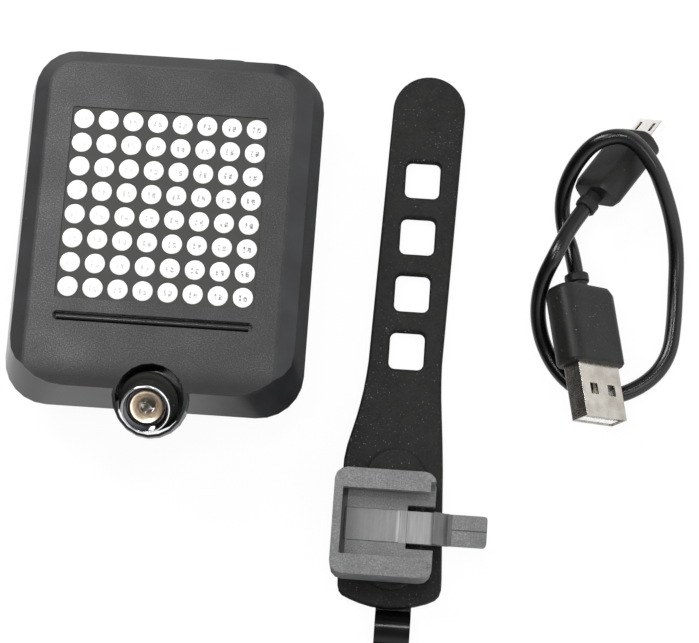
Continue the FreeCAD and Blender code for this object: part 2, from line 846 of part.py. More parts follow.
def cross_section(w, h, x, r, chords=stadium_chords):
    """Rounded rectangle across a plug, w along Y and h along Z, at x."""
    ring = outline(-h / 2, h / 2, -w / 2, w / 2, 0, r, r, chords)
    ring.rotate(V(0, 0, 0), V(0, 1, 0), 90)
    ring.translate(V(x, 0, 0))
    return ring


def slab(w, h, x0, x1, r, chords=stadium_chords):
    return Part.Face(cross_section(w, h, x0, r, chords)).extrude(V(x1 - x0, 0, 0))


def overmould(size, corner, shell_size, shell_in, draw):
    w, h, length = size
    back = skin(cross_section(w - draw, h - draw, 0, corner - draw / 2), cross_section(w, h, 1.6, corner))
    body = slab(w, h, 1.6, length - 0.5, corner)
    nose = skin(cross_section(w, h, length - 0.5, corner),
                cross_section(w - 0.8, h - 0.8, length, corner - 0.4))
    whole = fused([back, body, nose])
    return whole.cut(slab(shell_size[0], shell_size[1], length - shell_in, length + 1, 0.3, 2))


def metal_shell(size, thick, x0, x1):
    outer = slab(size[0], size[1], x0, x1, 0.3, 2)
    inner = slab(size[0] - 2 * thick, size[1] - 2 * thick, x0 - 1, x1 + 1, 0.1, 1)
    return outer.cut(inner)


def relief(length, neck_d):
    """Stepped strain relief behind the overmould, its back end where the cable starts."""
    r = neck_d / 2
    profile = ((r - 0.2, -length), (r, 0.2 - length), (r, -length * 0.45), (r - 0.5, -length * 0.45),
               (r - 0.5, 0))
    steps = turned(profile, relief_sides)
    steps.rotate(V(0, 0, 0), V(0, 1, 0), 90)
    return steps


def usb_a(place):
    w, h = usb_shell
    length = usb_body[2]
    start = length - usb_shell_in
    end = length + usb_shell_out
    shell = metal_shell(usb_shell, usb_shell_t, start, end)
    for y in (-2.6, 2.6):
        for z in (-h / 2, h / 2):
            shell = shell.cut(box(end - 7.3, end - 4.9, y - 1.1, y + 1.1, z - 1, z + 1))
    half = w / 2 - usb_shell_t - 0.1
    low = -h / 2 + usb_shell_t
    tongue = box(start, end - 0.4, -half, half, low + 0.02, low + 1.9)
    contacts = [box(end - 8.5, end - 1.4, y - 0.5, y + 0.5, low + 1.9, low + 2.0)
                for y in (-3.5, -1.0, 1.0, 3.5)]
    NODES["usb_a_overmould"] = place(overmould(usb_body, usb_body_corner, usb_shell, usb_shell_in, 1.6))
    NODES["usb_a_shell"] = place(shell)
    NODES["usb_a_tongue"] = place(tongue)
    NODES["usb_a_contacts"] = place(Part.makeCompound(contacts))
    NODES["usb_a_relief"] = place(relief(usb_relief_l, relief_d + 0.4))


def micro_usb(place):
    w, h = micro_shell
    length = micro_body[2]
    start = length - micro_shell_in
    end = length + micro_shell_out
    shell = metal_shell(micro_shell, micro_shell_t, start, end)
    for y in (-1.9, 1.9):
        shell = shell.cut(box(end - 3.4, end - 1.0, y - 0.35, y + 0.35, 0, h))
    half = w / 2 - micro_shell_t - 0.1
    low = -h / 2 + micro_shell_t
    tongue = box(start, end - 0.3, -half, half, low + 0.02, low + 0.6)
    contacts = [box(end - 3.2, end - 0.8, y - 0.2, y + 0.2, low + 0.6, low + 0.66)
                for y in (-1.3, -0.65, 0.0, 0.65, 1.3)]
    NODES["micro_usb_overmould"] = place(overmould(micro_body, micro_body_corner, micro_shell,
                                                   micro_shell_in, 1.0))
    NODES["micro_usb_shell"] = place(shell)
    NODES["micro_usb_tongue"] = place(tongue)
    NODES["micro_usb_contacts"] = place(Part.makeCompound(contacts))
    NODES["micro_usb_relief"] = place(relief(micro_relief_l, relief_d - 0.2))


def across(centre, way, r):
    """The cable's outline at centre, square to way, in flat sides."""
    ring = many_sided(r, 0, 0, 0, cable_sides)
    ring.Placement = FreeCAD.Placement(centre, FreeCAD.Rotation(UP, way))
    return ring


def tube(points, diameter):
    """Straight runs joined by tangent arcs, each as large as its two runs allow."""
    edges = []
    start = points[0]
    for before, at, after in zip(points, points[1:], points[2:]):
        to_here = at - before
        onward = after - at
        shorter = min(to_here.Length, onward.Length)
        half_turn = to_here.getAngle(onward) / 2
        trim = 0.45 * shorter
        bend = trim / math.tan(half_turn)
        print("bend radius %.1f mm" % bend)
        first = at - to_here * (trim / to_here.Length)
        last = at + onward * (trim / onward.Length)
        inward = onward * (1 / onward.Length) - to_here * (1 / to_here.Length)
        middle = at + inward * ((bend / math.cos(half_turn) - bend) / inward.Length)
        edges.append(line(start, first))
        edges.append(Part.Arc(first, middle, last).toShape())
        start = last
    edges.append(line(start, points[-1]))
    path = Part.Wire(edges)
    ring = across(points[0], points[1] - points[0], diameter / 2)
    section = Part.Face(ring).Area
    solid = path.makePipeShell([ring], True, False)
    print("cable length %.1f mm, volume against section times length %.4f"
          % (path.Length, solid.Volume / (section * path.Length)))
    return solid


# Inner points of the cable's route, from the micro-USB relief round the loop to the USB-A relief.
# It climbs over its own other end, lies on the table, and climbs over the micro-USB plug's nose.
CABLE_ROUTE = [
    (80.0, -1.7, 13.6), (76.0, -10.6, 7.6), (76.6, -19.6, 2.2), (83.2, -27.6, 1.65),
    (94.2, -29.4, 1.65), (102.8, -23.6, 1.65), (106.5, -14.0, 1.65), (107.6, -2.6, 1.9),
    (106.1, 7.1, 4.0), (104.4, 15.2, 10.1), (100.2, 22.6, 16.6), (91.7, 25.8, 18.0),
    (83.4, 24.1, 13.7), (80.0, 18.3, 6.9), (81.7, 11.3, 3.5), (83.6, 5.7, 3.5),
]


def build():
    NODES["front_housing"] = front_housing()
    NODES["rear_housing"] = rear_housing()
    NODES["housing_seal"] = housing_seal()
    NODES["housing_screws"] = housing_screws()
    NODES["led_mask"] = led_mask()
    NODES["led_lenses"] = led_lenses()
    NODES["led_chips"] = led_chips()
    NODES["led_board"] = led_board()
    NODES["slot_bar"] = slot_bar()
    NODES["laser_barrel"] = laser_barrel()
    NODES["laser_ring"] = laser_ring()
    NODES["laser_reflector"] = laser_reflector()
    NODES["laser_lens"] = laser_lens()
    NODES["laser_module"] = laser_module()
    NODES["battery"] = battery()
    NODES["battery_pad"] = battery_pad()
    NODES["control_chip"] = control_chip()
    NODES["motion_sensor"] = motion_sensor()
    NODES["usb_socket"] = usb_socket()
    NODES["button_switch"] = button_switch()
    NODES["power_button"] = power_button()
    NODES["usb_cover"] = usb_cover()
    NODES["mount_tab"] = mount_tab()
    NODES["tab_screws"] = tab_screws()
    NODES["strap"] = strap()
    NODES["hook"] = hook()
    NODES["bracket"] = bracket()
    NODES["bracket_screw"] = bracket_screw()
    NODES["release_tongue"] = release_tongue()
    usb_a(lambda shape: plug_place(shape, usb_tail, usb_aim, usb_roll))
    micro_usb(lambda shape: plug_place(shape, micro_tail, micro_aim, micro_roll))
    micro_way = micro_aim / micro_aim.Length
    usb_way = usb_aim / usb_aim.Length
    start = micro_tail - micro_way * micro_relief_l
    end = usb_tail - usb_way * usb_relief_l
    route = [start, start - micro_way * micro_run] + [V(*p) for p in CABLE_ROUTE]
    NODES["cable"] = tube(route + [end - usb_way * usb_run, end], cable_d)


build()
left = -body_half_w
right = thumb_x + thumb_l
top = strap_top_y + strap_half_w
low = hook_y2 - head_l
origin = V((left + right) / 2, (top + low) / 2, 0)
print("row origin in the lamp's frame: %.3f, %.3f" % (origin.x, origin.y))
os.makedirs("parts", exist_ok=True)
for name, shape in NODES.items():
    placed = shape.copy()
    placed.translate(-origin)
    placed.exportStep("parts/%s.step" % name)
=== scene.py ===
import json
import math

import bmesh
import bpy
from mathutils import Matrix, Vector


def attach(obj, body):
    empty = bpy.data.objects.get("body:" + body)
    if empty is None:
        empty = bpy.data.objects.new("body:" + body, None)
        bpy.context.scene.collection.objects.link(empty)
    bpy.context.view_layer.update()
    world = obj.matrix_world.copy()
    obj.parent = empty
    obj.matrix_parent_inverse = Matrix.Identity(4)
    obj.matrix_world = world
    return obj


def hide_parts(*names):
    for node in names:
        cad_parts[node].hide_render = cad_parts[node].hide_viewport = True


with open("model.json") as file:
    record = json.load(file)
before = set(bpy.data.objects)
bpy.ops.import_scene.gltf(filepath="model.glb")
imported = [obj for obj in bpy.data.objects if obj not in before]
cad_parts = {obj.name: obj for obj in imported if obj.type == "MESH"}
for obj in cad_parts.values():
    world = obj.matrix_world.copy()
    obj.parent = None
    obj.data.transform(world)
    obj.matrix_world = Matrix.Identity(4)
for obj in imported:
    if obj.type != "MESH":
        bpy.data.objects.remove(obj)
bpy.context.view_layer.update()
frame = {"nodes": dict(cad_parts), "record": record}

# Bike tail light, its strap mount and its charging lead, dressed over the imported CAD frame.
# Objects are in metres in the row's frame. Numbers in mm are multiplied by MM.
MM = 0.001
# The LED matrix's centre in mm in the row's frame. Plans and profiles are measured from it.
LAMP_AT = Vector((-19.7, 23.225, 0.0))
NODES = frame["nodes"]


def from_lamp(x, y, z):
    """A point given in mm from the LED matrix's centre, in metres in the row's frame."""
    return (Vector((x, y, z)) + LAMP_AT) * MM


# Camera, fitted to the photo: its place in mm, and its right, up and back directions

LENS_MM = 126.2
SENSOR_MM = 36.0
CAMERA_AT = Vector((32.4, -111.3, 505.0))
CAMERA_AXES = ((0.9975, 0.0703, -0.0094), (-0.0663, 0.9707, 0.2311), (0.0254, -0.2299, 0.9729))


def add_camera():
    data = bpy.data.cameras.new("camera")
    data.lens = LENS_MM
    data.sensor_width = SENSOR_MM
    data.clip_start = 0.01
    data.clip_end = 20.0
    camera = bpy.data.objects.new("camera", data)
    bpy.context.scene.collection.objects.link(camera)
    place = Matrix(CAMERA_AXES).transposed().to_4x4()
    place.translation = CAMERA_AT * MM
    camera.matrix_world = place
    bpy.context.scene.camera = camera


# Node helpers

class Nodes:
    """A node tree, and short ways to add nodes to it."""

    def __init__(self, tree):
        self.tree = tree

    def node(self, kind, **settings):
        made = self.tree.nodes.new(kind)
        for key, value in settings.items():
            setattr(made, key, value)
        return made

    def link(self, source, target):
        self.tree.links.new(source, target)

    def feed(self, socket, value):
        """Give a socket a number, a colour or another node's output."""
        if isinstance(value, tuple):
            socket.default_value = (*value, 1.0)
        elif isinstance(value, (int, float)):
            socket.default_value = value
        else:
            self.link(value, socket)

    def split(self, kind):
        """The X, Y and Z of one kind of texture coordinate."""
        made = self.node("ShaderNodeSeparateXYZ")
        self.link(self.node("ShaderNodeTexCoord").outputs[kind], made.inputs[0])
        return made.outputs

    def math(self, operation, *values):
        made = self.node("ShaderNodeMath", operation=operation)
        for socket, value in zip(made.inputs, values):
            self.feed(socket, value)
        return made.outputs[0]

    def map_range(self, value, low, high, at_low, at_high, **settings):
        made = self.node("ShaderNodeMapRange", **settings)
        names = ("Value", "From Min", "From Max", "To Min", "To Max")
        for name, given in zip(names, (value, low, high, at_low, at_high)):
            self.feed(made.inputs[name], given)
        return made.outputs["Result"]

    def mix_shaders(self, fac, a, b):
        made = self.node("ShaderNodeMixShader")
        for socket, value in zip(made.inputs, (fac, a, b)):
            self.feed(socket, value)
        return made.outputs[0]


class Shader(Nodes):
    """A material with one Principled shader, patterned in the row's frame."""

    def __init__(self, name):
        self.material = bpy.data.materials.new(name)
        self.material.use_nodes = True
        super().__init__(self.material.node_tree)
        self.shader = self.tree.nodes["Principled BSDF"]
        self.where = self.node("ShaderNodeTexCoord").outputs["Object"]

    def set(self, name, value):
        self.feed(self.shader.inputs[name], value)

    def noise(self, size_mm, detail=3.0, rough=0.5, stretch=None):
        where = self.where
        if stretch:
            scaled = self.node("ShaderNodeVectorMath", operation="MULTIPLY")
            self.link(where, scaled.inputs[0])
            scaled.inputs[1].default_value = stretch
            where = scaled.outputs[0]
        made = self.node("ShaderNodeTexNoise")
        made.inputs["Scale"].default_value = 1.0 / (size_mm * MM)
        made.inputs["Detail"].default_value = detail
        made.inputs["Roughness"].default_value = rough
        self.link(where, made.inputs["Vector"])
        return made.outputs["Fac"]

    def ramp(self, fac, *stops):
        """Colour ramp; each stop is its place and a grey or a colour."""
        made = self.node("ShaderNodeValToRGB")
        points = made.color_ramp.elements
        points[1].position = stops[-1][0]
        points[0].position = stops[0][0]
        for at, _ in stops[1:-1]:
            points.new(at)
        for point, (_, colour) in zip(points, stops):
            rgb = colour if isinstance(colour, tuple) else (colour, colour, colour)
            point.color = (*rgb, 1.0)
        self.link(fac, made.inputs["Fac"])
        return made.outputs["Color"]

    def mix(self, fac, a, b):
        made = self.node("ShaderNodeMix", data_type="RGBA")
        for number, value in ((0, fac), (6, a), (7, b)):
            self.feed(made.inputs[number], value)
        return made.outputs[2]

    def axis(self, name):
        return self.split("Object")[name]

    def along(self, name, start_mm, length_mm):
        """Place along an axis: 0 at its start, 1 a length further on."""
        run = self.math("SUBTRACT", self.axis(name), start_mm * MM)
        return self.math("DIVIDE", run, length_mm * MM)

    def near(self, name, middle_mm, half_mm):
        """1 within half_mm of a place on an axis."""
        off = self.math("SUBTRACT", self.axis(name), middle_mm * MM)
        return self.math("LESS_THAN", self.math("ABSOLUTE", off), half_mm * MM)

    def within(self, value, low, high):
        above = self.math("GREATER_THAN", value, low)
        return self.math("MULTIPLY", above, self.math("LESS_THAN", value, high))

    def product(self, first, *others):
        for other in others:
            first = self.math("MULTIPLY", first, other)
        return first

    def blend(self, grain, cloud, part):
        """Grain and cloud noise added up, with this part of the grain."""
        return self.math("ADD", self.math("MULTIPLY", grain, part),
                         self.math("MULTIPLY", cloud, 1.0 - part))

    def dusted(self, base, speck, size_mm, threshold):
        """base with small sparse dust marks of colour speck over it, thicker in some places."""
        fine = self.noise(size_mm, detail=1.5, rough=0.6)
        spread = self.math("SUBTRACT", self.noise(DUST_SPREAD_MM, detail=2.0), 0.5)
        patches = self.math("MULTIPLY", spread, DUST_PATCHES)
        mask = self.ramp(self.math("ADD", fine, patches), (threshold, 0.0),
                         (threshold + DUST_EDGE, 1.0))
        return self.mix(mask, base, speck)

    def bump(self, height, depth_mm):
        made = self.node("ShaderNodeBump")
        made.inputs["Distance"].default_value = depth_mm * MM
        made.inputs["Strength"].default_value = 1.0
        self.link(height, made.inputs["Height"])
        self.set("Normal", made.outputs["Normal"])


# Materials

DUST_SPREAD_MM = 9.0
LED_PITCH = 5.08
# Weight and steepness of the dust marks
DUST_PATCHES, DUST_EDGE = 0.16, 0.05
# The face's height, and the height over which the smooth facets turn into the grained face
FACE_FROM, FACE_BLEND = 25.2, 0.8
# The face's left side and width, over which painted shade darkens it to the right, and the band
# along its bottom where painted shade grows darker
FACE_LEFT, FACE_WIDTH = -27.0, 54.0
SHADE_BAND_LOW, SHADE_BAND_HEIGHT = -38.5, 7.0
# The matrix's left side and width, and each cell's two marks as ranges across and up
MATRIX_LEFT, MATRIX_WIDTH = -20.0, 40.0
MARKS = (((-0.75, -0.3), (-0.85, 0.45)), ((0.15, 0.85), (-0.85, 0.3)))
# Nickel further up than this is the small plug's
PALE_FROM = 15.0
# The bracket's slot: its blind end and its length with the thumb, the middle lines of the streaked
# strip and of the thumb, and the strip's half width and top
SLOT_X, SLOT_LENGTH = 40.0, 32.0
STRIP_Y, THUMB_Y = -59.5, -59.6
STRIP_HALF, STRIP_TOP = 3.35, 11.5
# Half widths of the slot and of the painted shade line for the thumb's ridge
SLOT_HALF, RIDGE_SHADE_HALF = 8.2, 0.13
# Where along the slot the painted shadow at the blind wall's foot ends and the thumb's end starts
WALL_SHADOW_END, THUMB_START = 0.045, 0.72
# The laser's front: its centre, its tilt from upright and its bezel's outer radius
LASER_AT = (0.45, -42.55, 28.0)
LASER_TILT = math.radians(28)
BEZEL_R = 5.0


def plastic(name, dark, light, rough, grain_mm, depth_mm, specular=0.5, dust=0.78, speck=0.25,
            cloud_mm=7.0, speck_mm=0.45):
    """Dyed plastic or rubber: slow cloudiness, moulded grain and a little dust."""
    s = Shader(name)
    grain = s.noise(grain_mm, detail=2.5, rough=0.7)
    cloud = s.noise(cloud_mm, detail=4.0)
    tone = s.ramp(s.blend(grain, cloud, 0.7), (0.36, dark), (0.64, light))
    s.set("Base Color", s.dusted(tone, (speck, speck, speck * 0.97), speck_mm, dust))
    s.bump(grain, depth_mm)
    s.set("Roughness", s.ramp(s.noise(3.0), (0.3, rough - 0.04), (0.7, rough + 0.05)))
    s.set("Specular IOR Level", specular)
    return s.material


def metal(name, dark, light, rough):
    s = Shader(name)
    s.set("Base Color", s.ramp(s.noise(1.5, detail=4.0), (0.3, dark), (0.7, light)))
    s.bump(s.noise(0.6, detail=3.0), 0.002)
    s.set("Roughness", s.ramp(s.noise(0.9), (0.3, rough - 0.05), (0.7, rough + 0.05)))
    s.set("Metallic", 1.0)
    return s.material


def front_plastic():
    """Grained on the face, smooth on the facets, with painted shade to the right and near the
    bottom.
    """
    s = Shader("front_shell")
    face = s.ramp(s.along("Z", FACE_FROM, FACE_BLEND), (0.0, 0.0), (1.0, 1.0))
    grain = s.noise(0.25, detail=2.0, rough=0.7)
    cloud = s.noise(8.0, detail=4.0)
    grained = s.ramp(s.blend(grain, cloud, 0.8), (0.36, (0.028, 0.028, 0.029)),
                     (0.54, (0.064, 0.064, 0.065)), (0.72, (0.19, 0.19, 0.192)))
    smooth_tone = s.ramp(cloud, (0.35, (0.012, 0.012, 0.013)), (0.7, (0.02, 0.021, 0.022)))
    # painted shade: the face grows darker towards the right
    across = s.ramp(s.along("X", LAMP_AT.x + FACE_LEFT, FACE_WIDTH), (0.0, 0.0), (0.45, 0.4),
                    (1.0, 0.58))
    grained = s.mix(across, grained, (0.01, 0.01, 0.01))
    # painted shade: a band along the face's bottom grows darker towards its edge
    low = s.ramp(s.along("Y", LAMP_AT.y + SHADE_BAND_LOW, SHADE_BAND_HEIGHT), (0.3, 0.9), (0.85, 0.0))
    tone = s.mix(face, smooth_tone, grained)
    tone = s.mix(s.product(low, face), tone, (0.008, 0.008, 0.009))
    s.set("Base Color", s.dusted(tone, (0.22, 0.22, 0.22), 0.5, 0.8))
    # the grain is full on the face and faint on the facets
    fading = s.math("ADD", s.math("MULTIPLY", face, 0.85), 0.15)
    s.bump(s.product(grain, fading), 0.06)
    s.set("Roughness", s.ramp(face, (0.0, 0.2), (1.0, 0.52)))
    s.set("Specular IOR Level", 0.26)
    return s.material


def lens_plastic():
    """Frosted white, with the chips' two grey marks behind it, fainter at the left."""
    s = Shader("lens_white")

    def in_cell(name, centre):
        """Distance in mm from the middle of the point's own LED cell."""
        cells = s.along(name, centre - 4 * LED_PITCH, LED_PITCH)
        return s.math("MULTIPLY", s.math("SUBTRACT", s.math("FRACT", cells), 0.5), LED_PITCH)

    u, v = in_cell("X", LAMP_AT.x), in_cell("Y", LAMP_AT.y)
    left, right = [s.product(s.within(u, *across), s.within(v, *up)) for across, up in MARKS]
    broken = s.ramp(s.noise(0.42, detail=1.5, rough=0.8), (0.44, 0.0), (0.5, 1.0))
    column = s.ramp(s.along("X", LAMP_AT.x + MATRIX_LEFT, MATRIX_WIDTH), (0.0, 0.3), (0.35, 0.5),
                    (0.65, 0.7), (1.0, 0.9))
    marks = s.product(s.math("MAXIMUM", left, right), broken, column)
    white = s.ramp(s.noise(1.2), (0.3, (0.70, 0.70, 0.69)), (0.7, (0.78, 0.78, 0.77)))
    s.set("Base Color", s.mix(marks, white, (0.06, 0.055, 0.055)))
    s.set("Roughness", s.ramp(s.noise(0.6), (0.3, 0.3), (0.7, 0.45)))
    s.bump(s.noise(0.4), 0.006)
    return s.material


def nickel():
    """Warm nickel plate; the small plug's shell, further up the picture, is the paler one."""
    s = Shader("shell_nickel")
    pale = s.math("GREATER_THAN", s.axis("Y"), (LAMP_AT.y + PALE_FROM) * MM)
    warm = s.ramp(s.noise(3.0, detail=4.0), (0.35, (0.38, 0.35, 0.31)),
                  (0.65, (0.50, 0.475, 0.43)))
    s.set("Base Color", s.mix(pale, warm, (0.9, 0.88, 0.85)))
    s.bump(s.noise(2.5, detail=2.0), 0.004)
    s.set("Roughness", s.ramp(s.noise(0.9), (0.3, 0.2), (0.7, 0.3)))
    s.set("Metallic", 1.0)
    return s.material


def bezel_chrome():
    """Bright at the rim, dark down the funnel, told apart by the distance from the laser's axis."""
    s = Shader("ring_chrome")
    at = [(c + d) * MM for c, d in zip(LASER_AT, LAMP_AT)]
    dx, dy, dz = [s.math("SUBTRACT", s.axis(name), c) for name, c in zip("XYZ", at)]
    across = s.math("ADD", s.math("MULTIPLY", dy, math.cos(LASER_TILT)),
                    s.math("MULTIPLY", dz, math.sin(LASER_TILT)))
    squares = s.math("ADD", s.product(dx, dx), s.product(across, across))
    r = s.math("DIVIDE", s.math("SQRT", squares), BEZEL_R * MM)
    s.set("Base Color", s.ramp(r, (0.9, (0.09, 0.09, 0.10)), (0.94, (0.8, 0.81, 0.82))))
    s.set("Roughness", s.ramp(s.noise(0.9), (0.3, 0.05), (0.7, 0.12)))
    s.bump(s.noise(0.8, detail=2.0), 0.002)
    s.set("Metallic", 1.0)
    return s.material


def bracket_plastic():
    """Grained grey, with a streaked strip on the slot's floor that holds painted light and shade,
    and a painted shade line for a ridge on the thumb's end.
    """
    s = Shader("bracket_grey")
    grain = s.noise(0.3, detail=3.0, rough=0.75)
    cloud = s.noise(5.0, detail=3.0)
    tone = s.ramp(s.blend(grain, cloud, 0.75), (0.36, (0.07, 0.071, 0.072)),
                  (0.53, (0.13, 0.131, 0.132)), (0.7, (0.26, 0.262, 0.264)))
    along = s.along("X", LAMP_AT.x + SLOT_X, SLOT_LENGTH)
    deep = s.math("LESS_THAN", s.axis("Z"), STRIP_TOP * MM)
    # the strip: light past the tongue's root, partly wear and partly painted highlight, and painted
    # shade down the tongue's step
    strip = s.product(s.near("Y", LAMP_AT.y + STRIP_Y, STRIP_HALF), deep,
                      s.math("LESS_THAN", along, THUMB_START))
    wear_and_painted_light = s.ramp(along, (0.02, 0.12), (0.36, 0.24), (0.375, 0.45), (0.4, 0.28), (0.58, 0.33),
                  (0.6, 0.06), (0.68, 0.075), (0.7, 0.03))
    streaks = s.ramp(s.noise(0.6, stretch=(1.0, 0.08, 1.0)), (0.35, 0.0), (0.65, 1.0))
    wear_and_painted_light = s.mix(s.math("MULTIPLY", streaks, 0.45), wear_and_painted_light, (0.12, 0.12, 0.12))
    tone = s.mix(s.math("MULTIPLY", strip, 0.85), tone, wear_and_painted_light)
    # the painted shade line for a ridge along the thumb's end, and the painted shadow at the foot
    # of the slot's blind wall
    ridge = s.product(s.near("Y", LAMP_AT.y + THUMB_Y, RIDGE_SHADE_HALF),
                      s.math("GREATER_THAN", along, THUMB_START))
    foot = s.product(s.within(along, 0.0, WALL_SHADOW_END), deep,
                     s.near("Y", LAMP_AT.y + THUMB_Y, SLOT_HALF))
    dark = s.math("MULTIPLY", s.math("MAXIMUM", ridge, foot), 0.9)
    tone = s.mix(dark, tone, (0.01, 0.01, 0.01))
    s.set("Base Color", s.dusted(tone, (0.4, 0.4, 0.4), 0.45, 0.8))
    s.bump(grain, 0.035)
    s.set("Roughness", s.ramp(cloud, (0.3, 0.45), (0.7, 0.58)))
    return s.material


def glass():
    s = Shader("lens_glass")
    s.set("Base Color", s.ramp(s.noise(0.8), (0.3, (0.55, 0.55, 0.56)), (0.7, 0.72)))
    s.set("Roughness", s.ramp(s.noise(0.5), (0.4, 0.0), (0.8, 0.03)))
    s.set("Transmission Weight", 1.0)
    s.set("IOR", 1.5)
    return s.material


PLASTICS = {
    "rear_shell": dict(dark=(0.02, 0.02, 0.021), light=(0.045, 0.045, 0.047), rough=0.4,
                       grain_mm=0.35, depth_mm=0.03),
    "mask": dict(dark=(0.03, 0.031, 0.029), light=(0.038, 0.039, 0.036), rough=0.5,
                 grain_mm=0.12, depth_mm=0.004, specular=0.25, dust=0.84),
    "led_white": dict(dark=(0.8, 0.8, 0.7), light=(0.88, 0.88, 0.8), rough=0.4,
                      grain_mm=0.3, depth_mm=0.004),
    "board_green": dict(dark=(0.02, 0.12, 0.05), light=(0.03, 0.2, 0.09), rough=0.35,
                        grain_mm=0.6, depth_mm=0.01),
    "smoke_bar": dict(dark=(0.004, 0.004, 0.005), light=0.008, rough=0.25,
                      grain_mm=0.5, depth_mm=0.002, dust=0.9),
    "black_metal": dict(dark=(0.009, 0.009, 0.0085), light=(0.018, 0.018, 0.0165), rough=0.7,
                        grain_mm=0.2, depth_mm=0.01, specular=0.15, dust=0.72, speck=0.35,
                        speck_mm=0.3),
    "foam": dict(dark=0.08, light=0.12, rough=0.9, grain_mm=0.3, depth_mm=0.05),
    "chip_black": dict(dark=0.02, light=0.03, rough=0.5, grain_mm=0.1, depth_mm=0.004),
    "soft_black": dict(dark=(0.014, 0.014, 0.015), light=(0.026, 0.026, 0.027), rough=0.5,
                       grain_mm=0.2, depth_mm=0.01),
    "strap_rubber": dict(dark=(0.005, 0.005, 0.0047), light=(0.0125, 0.0125, 0.0115), rough=0.6,
                         grain_mm=0.5, depth_mm=0.02, specular=0.18, dust=0.70, cloud_mm=5.0,
                         speck_mm=0.3),
    "hook_black": dict(dark=0.001, light=0.002, rough=0.18, grain_mm=0.4, depth_mm=0.004,
                       specular=0.25, dust=0.8),
    "cable_pvc": dict(dark=0.0015, light=0.003, rough=0.25, grain_mm=0.5, depth_mm=0.0008,
                      specular=0.4, dust=0.84),
    "plug_black": dict(dark=(0.006, 0.006, 0.0055), light=(0.013, 0.013, 0.012), rough=0.45,
                       grain_mm=0.5, depth_mm=0.02, specular=0.25, dust=0.73, speck=0.3,
                       speck_mm=0.3),
    "tongue_white": dict(dark=(0.8, 0.8, 0.78), light=(0.88, 0.88, 0.86), rough=0.4,
                         grain_mm=0.3, depth_mm=0.004, dust=0.9),
}
METALS = {
    "amber_metal": dict(dark=(0.97, 0.80, 0.62), light=(1.0, 0.88, 0.74), rough=0.42),
    "module_brass": dict(dark=(0.3, 0.27, 0.2), light=(0.42, 0.38, 0.3), rough=0.3),
    "cell_wrap": dict(dark=(0.6, 0.61, 0.63), light=(0.72, 0.72, 0.73), rough=0.35),
    "socket_steel": dict(dark=0.6, light=0.72, rough=0.25),
    "screw_steel": dict(dark=(0.4, 0.4, 0.41), light=(0.55, 0.55, 0.56), rough=0.3),
    "contact_gold": dict(dark=(0.75, 0.55, 0.22), light=(0.85, 0.68, 0.35), rough=0.2),
}


def make_materials():
    """One material for each slot, by the slot's name."""
    made = {"front_shell": front_plastic(), "lens_white": lens_plastic(), "shell_nickel": nickel(),
            "ring_chrome": bezel_chrome(), "bracket_grey": bracket_plastic(),
            "lens_glass": glass()}
    made.update((name, plastic(name, **values)) for name, values in PLASTICS.items())
    made.update((name, metal(name, **values)) for name, values in METALS.items())
    return made


# Edges and shading of the CAD nodes

SHARP_DEGREES = 36.0
BEVEL_DEGREES = 32.0
BEVEL_STEPS = 3
WELD_MM = 0.002
# Width in mm of each node's rounded edges
EDGES = {
    "front_housing": 0.15, "rear_housing": 0.2, "mount_tab": 0.15, "slot_bar": 0.05,
    "power_button": 0.2, "usb_cover": 0.1,
    "bracket": 0.18, "hook": 0.25, "release_tongue": 0.05,
    "usb_a_overmould": 0.5, "usb_a_relief": 0.2, "usb_a_shell": 0.08, "usb_a_tongue": 0.08,
    "micro_usb_overmould": 0.9, "micro_usb_relief": 0.2, "micro_usb_shell": 0.05,
}


def smooth_group():
    """Smooth shading, kept sharp where two faces meet at more than SHARP_DEGREES."""
    group = bpy.data.node_groups.new("smooth_by_angle", "GeometryNodeTree")
    for way in ("INPUT", "OUTPUT"):
        group.interface.new_socket("Geometry", in_out=way, socket_type="NodeSocketGeometry")
    g = Nodes(group)
    start = g.node("NodeGroupInput")
    end = g.node("NodeGroupOutput")
    faces = g.node("GeometryNodeSetShadeSmooth")
    faces.inputs["Shade Smooth"].default_value = True
    edges = g.node("GeometryNodeSetShadeSmooth", domain="EDGE")
    edges.inputs["Shade Smooth"].default_value = False
    angle = g.node("GeometryNodeInputMeshEdgeAngle")
    sharp = g.node("FunctionNodeCompare", operation="GREATER_THAN")
    sharp.inputs[1].default_value = math.radians(SHARP_DEGREES)
    g.link(angle.outputs["Unsigned Angle"], sharp.inputs[0])
    g.link(start.outputs[0], faces.inputs["Geometry"])
    g.link(faces.outputs["Geometry"], edges.inputs["Geometry"])
    g.link(sharp.outputs[0], edges.inputs["Selection"])
    g.link(edges.outputs["Geometry"], end.inputs[0])
    return group


def smooth(obj):
    modifier = obj.modifiers.new("smooth", "NODES")
    modifier.node_group = SMOOTH
    weights = obj.modifiers.new("weights", "WEIGHTED_NORMAL")
    weights.keep_sharp = True


def soften(obj, width_mm):
    """Small rounded edges on a CAD node."""
    weld = obj.modifiers.new("weld", "WELD")
    weld.merge_threshold = WELD_MM * MM
    bevel = obj.modifiers.new("bevel", "BEVEL")
    bevel.width = width_mm * MM
    bevel.segments = BEVEL_STEPS
    bevel.limit_method = "ANGLE"
    bevel.angle_limit = math.radians(BEVEL_DEGREES)
    bevel.use_clamp_overlap = True
    smooth(obj)


def dress_nodes():
    slots = {p["node"]: p["material_slot"] for p in frame["record"]["subparts"]}
    for name, obj in NODES.items():
        obj.data.materials.clear()
        obj.data.materials.append(MATERIALS[slots[name]])


# Mesh helpers for the pieces in finer shape than the solids

def piece(name, mesh, body, node, slot):
    """A visible piece that rides on a body and stands for one CAD node."""
    obj = bpy.data.objects.new(name, mesh)
    bpy.context.scene.collection.objects.link(obj)
    mesh.materials.append(MATERIALS[slot])
    smooth(obj)
    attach(obj, body)
    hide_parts(node)


